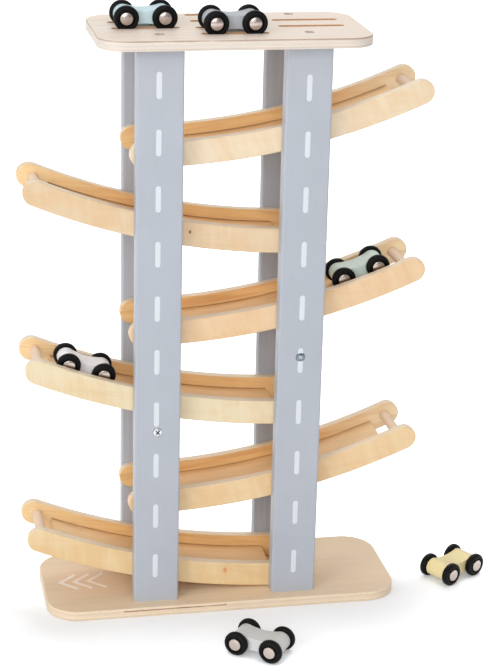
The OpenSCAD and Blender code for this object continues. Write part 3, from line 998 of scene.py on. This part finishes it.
def add_dome(settings):
    """Light all round. The camera sees it white, and gloss sees it dimmer in front of the toy."""
    world = bpy.data.worlds.new("soft dome")
    world.use_nodes = True
    nodes = Nodes(world.node_tree)
    toward = nodes.split(nodes.add("TexCoord", out="Generated"))[Y]
    fade = {"Value": toward, "From Min": DIM_FADE[0], "From Max": DIM_FADE[1]}
    fade.update({"To Min": settings.dim_front, "To Max": 1.0})
    dim = nodes.add("MapRange", {"interpolation_type": "SMOOTHSTEP"}, fade)
    seen = nodes.add("LightPath", out="Is Camera Ray")
    through = nodes.add("LightPath", out="Is Transmission Ray")
    mirrored = nodes.add("LightPath", out="Is Glossy Ray")
    light, gloss, white = (
        nodes.add("Background", {}, {"Color": WHITE, "Strength": strength})
        for strength in (settings.dome, dim, 1.0)
    )
    shaded = nodes.add("MixShader", {}, {0: mirrored, 1: light, 2: gloss})
    mixed = nodes.add("MixShader", {}, {0: seen.most(through), 1: shaded, 2: white})
    nodes.end("World", mixed.socket)
    bpy.context.scene.world = world


def from_middle(azimuth, elevation, distance):
    """A vector from the middle of the toy, turned from the front and raised, in radians."""
    level = cos(elevation)
    return distance * Vector((sin(azimuth) * level, -cos(azimuth) * level, sin(elevation)))


def add_soft_light(name, azimuth, elevation, width, power):
    """A round lamp that looks at the toy, placed by its angles in degrees."""
    lamp = bpy.data.lights.new(name, "AREA")
    lamp.shape = "DISK"
    lamp.size = width
    lamp.energy = power
    light = bpy.data.objects.new(name, lamp)
    back = from_middle(radians(azimuth), radians(elevation), LIGHT_DISTANCE)
    light.location = Vector((0, 0, CAD_BOUNDS[1][Z] / 2)) + back
    light.rotation_euler = (-back).to_track_quat("-Z", "Y").to_euler()
    bpy.context.scene.collection.objects.link(light)


def add_camera(settings):
    lens = bpy.data.cameras.new("photo camera")
    lens.sensor_width = SENSOR
    lens.lens = settings.focal_pixels / PHOTO_LONG_SIDE * SENSOR
    camera = bpy.data.objects.new("photo camera", lens)
    back = from_middle(settings.azimuth, settings.elevation, settings.distance)
    upright = (-back).to_track_quat("-Z", "Y").to_matrix().to_4x4()
    place = Matrix.Translation(Vector(settings.target) + back)
    camera.matrix_world = place @ upright @ Matrix.Rotation(settings.roll, 4, "Z")
    bpy.context.scene.collection.objects.link(camera)
    bpy.context.scene.camera = camera


# Operators


class TRACK_OT_boards(bpy.types.Operator):
    """Finish the base board and the top board as birch plywood"""

    bl_idname = "track.boards"
    bl_label = "Finish boards"

    # Radius of the boards' round corners, seen from above
    top_corner = 0.026
    base_corner = 0.032
    # Screws that stand in holes in the top board, and those holes' radius
    top_holes = ("top_screws", 0.0048)
    # Glue lines: depth below the upper face, half width and strength
    top_lines = ((0.0008, 0.001, 0.62), (0.0049, 0.0004, 0.16), (0.0082, 0.0006, 0.26))
    base_lines = ((0.0034, 0.0012, 0.16), (0.0055, 0.0005, 0.12), (0.0084, 0.0008, 0.24))
    # An open joint in the base's front edge: from and to along X, depth and half width
    base_gap = (-0.107, 0.001, 0.0029, 0.0008)

    def execute(self, context):
        colours = context.scene.track_colours
        top = colours.top_veneer, colours.top_edge, colours, self.top_corner, self.top_lines
        dress("top_board", plywood("top plywood", "top_board", *top, screws=self.top_holes))
        base = colours.base_veneer, colours.base_edge, colours, self.base_corner, self.base_lines
        dress("base_board", plywood("base plywood", "base_board", *base, self.base_gap))
        return {"FINISHED"}


class TRACK_OT_posts(bpy.types.Operator):
    """Paint the four posts"""

    bl_idname = "track.posts"
    bl_label = "Paint posts"

    # The back posts' grain shows through: its scales along X, Y and Z, per metre
    open_grain = (420.0, 420.0, 9.0)

    def execute(self, context):
        tone = context.scene.track_colours.post
        smooth = satin_paint("front post paint", tone, depth=0.22)
        for post in ("front_left_post", "front_right_post"):
            dress(post, smooth)
        # Painted light and shade: the back left post's paint is made paler and the back right post's
        # darker.
        for post, share in (("back_left_post", 1.04), ("back_right_post", 0.92)):
            paint = satin_paint(post + " paint", scaled(tone, share), self.open_grain, depth=1.0)
            dress(post, paint)
        return {"FINISHED"}


class TRACK_OT_ramps(bpy.types.Operator):
    """Finish the rails and floors of the ramps, each rail as its own piece of wood"""

    bl_idname = "track.ramps"
    bl_label = "Finish ramps"

    # Slope of the grain in a rail
    blank_tilt = radians(8)
    # Marks in the wood: X, Z and whether a pin knot shows
    marks = {
        "ramp_2_front_rail": (-0.0387, 0.3939, True),
        "ramp_6_front_rail": (0.0026, 0.0316, False),
    }

    def execute(self, context):
        colours = context.scene.track_colours
        veneer = thin_floor("floor veneer", colours)
        for ramp in RAMPS:
            floor = f"ramp_{ramp}_floor"
            dress(floor, veneer)
            tone = tuple(getattr(colours, f"rail_{ramp}"))
            tilt = self.blank_tilt if ramp % 2 else -self.blank_tilt
            for side, inside, shift in (("front", 1, 0.3), ("back", -1, 1.7)):
                name = f"ramp_{ramp}_{side}_rail"
                mark = self.marks.get(name)
                dress(name, solid_wood(name, floor, tone, colours, inside, tilt, shift + ramp, mark))
        return {"FINISHED"}


class TRACK_OT_fixings(bpy.types.Operator):
    """Finish the dowels, pins, ties and screws"""

    bl_idname = "track.fixings"
    bl_label = "Finish fixings"

    def execute(self, context):
        colours = context.scene.track_colours
        turned = satin_paint("turned dowel", colours.dowel, (800.0, 40.0, 800.0), 0.5)
        for node in ("stop_dowels", "rail_pins", "tie_dowels"):
            dress(node, turned)
        steel = soft_metal("screw steel", tuple(colours.screw), 0.25, 0.00002)
        for node in ("top_screws", "base_screws"):
            dress(node, steel)
        face = abs(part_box("front_left_post")[0].y)
        heads = tuple(colours.screw), colours.shaded_screw, colours.recess, face
        dress("post_screws", screw_steel("post screw steel", *heads))
        return {"FINISHED"}


class TRACK_OT_road_marks(bpy.types.Operator):
    """Print the dashes on the posts and the chevrons on the base"""

    bl_idname = "track.road_marks"
    bl_label = "Print road marks"

    def execute(self, context):
        marks = context.scene.road_marks
        colours = context.scene.track_colours
        white = white_print("dash print", colours.mark)
        for post in POSTS:
            add_dashes(post, marks, white)
        # The chevrons' paler print is painted light.
        add_chevrons(marks, white_print("chevron print", colours.chevron))
        return {"FINISHED"}


class TRACK_OT_car_bodies(bpy.types.Operator):
    """Make the painted bodies of the cars"""

    bl_idname = "track.car_bodies"
    bl_label = "Make car bodies"

    def execute(self, context):
        colours = context.scene.track_colours
        for car in CARS:
            paint = satin_paint(car + " paint", getattr(colours, car), (160.0, 900.0, 900.0), depth=0.7)
            add_car_body(car, context.scene.car_sizes, paint)
        return {"FINISHED"}


class TRACK_OT_wheelsets(bpy.types.Operator):
    """Make the wheels, axles and caps of the cars"""

    bl_idname = "track.wheelsets"
    bl_label = "Make wheelsets"

    def execute(self, context):
        colours = context.scene.track_colours
        sizes = context.scene.car_sizes
        black = wheel_black("wheel black", colours.wheel, sizes.dish / 2)
        nickel = soft_metal("nickel cap", tuple(colours.nickel), 0.16, 0.00002)
        for car in CARS:
            for end in ENDS:
                add_wheelset(car, end, sizes, black, nickel)
        return {"FINISHED"}


class TRACK_OT_stage(bpy.types.Operator):
    """Set up the floor, the light and the camera"""

    bl_idname = "track.stage"
    bl_label = "Set stage"

    # Lamps: turn from the front and height in degrees, and width in metres
    left_place = (-50, 21, 2.4)
    front_place = (-8, 21, 1.8)
    back_place = (170, 58, 2.2)

    def execute(self, context):
        settings = context.scene.track_stage
        context.scene.view_settings.view_transform = "Standard"
        add_floor(settings)
        add_dome(settings)
        add_soft_light("left light", *self.left_place, settings.left_light)
        add_soft_light("front light", *self.front_place, settings.front_light)
        add_soft_light("back light", *self.back_place, settings.back_light)
        add_camera(settings)
        return {"FINISHED"}


OPERATORS = (
    TRACK_OT_boards,
    TRACK_OT_posts,
    TRACK_OT_ramps,
    TRACK_OT_fixings,
    TRACK_OT_road_marks,
    TRACK_OT_car_bodies,
    TRACK_OT_wheelsets,
    TRACK_OT_stage,
)


class TRACK_PT_panel(bpy.types.Panel):
    """Lists the steps that dress the track"""

    bl_idname = "TRACK_PT_panel"
    bl_label = "Click-clack track"
    bl_space_type = "VIEW_3D"
    bl_region_type = "UI"
    bl_category = "Track"

    def draw(self, context):
        for operator in OPERATORS:
            self.layout.operator(operator.bl_idname)


CLASSES = (*GROUPS.values(), *OPERATORS, TRACK_PT_panel)


def register():
    for cls in CLASSES:
        bpy.utils.register_class(cls)
    for name, group in GROUPS.items():
        setattr(bpy.types.Scene, name, PointerProperty(type=group))


def unregister():
    for name in GROUPS:
        delattr(bpy.types.Scene, name)
    for cls in reversed(CLASSES):
        bpy.utils.unregister_class(cls)


def main():
    register()
    for operator in OPERATORS:
        group, step = operator.bl_idname.split(".")
        getattr(getattr(bpy.ops, group), step)()


if __name__ == "__main__":
    main()
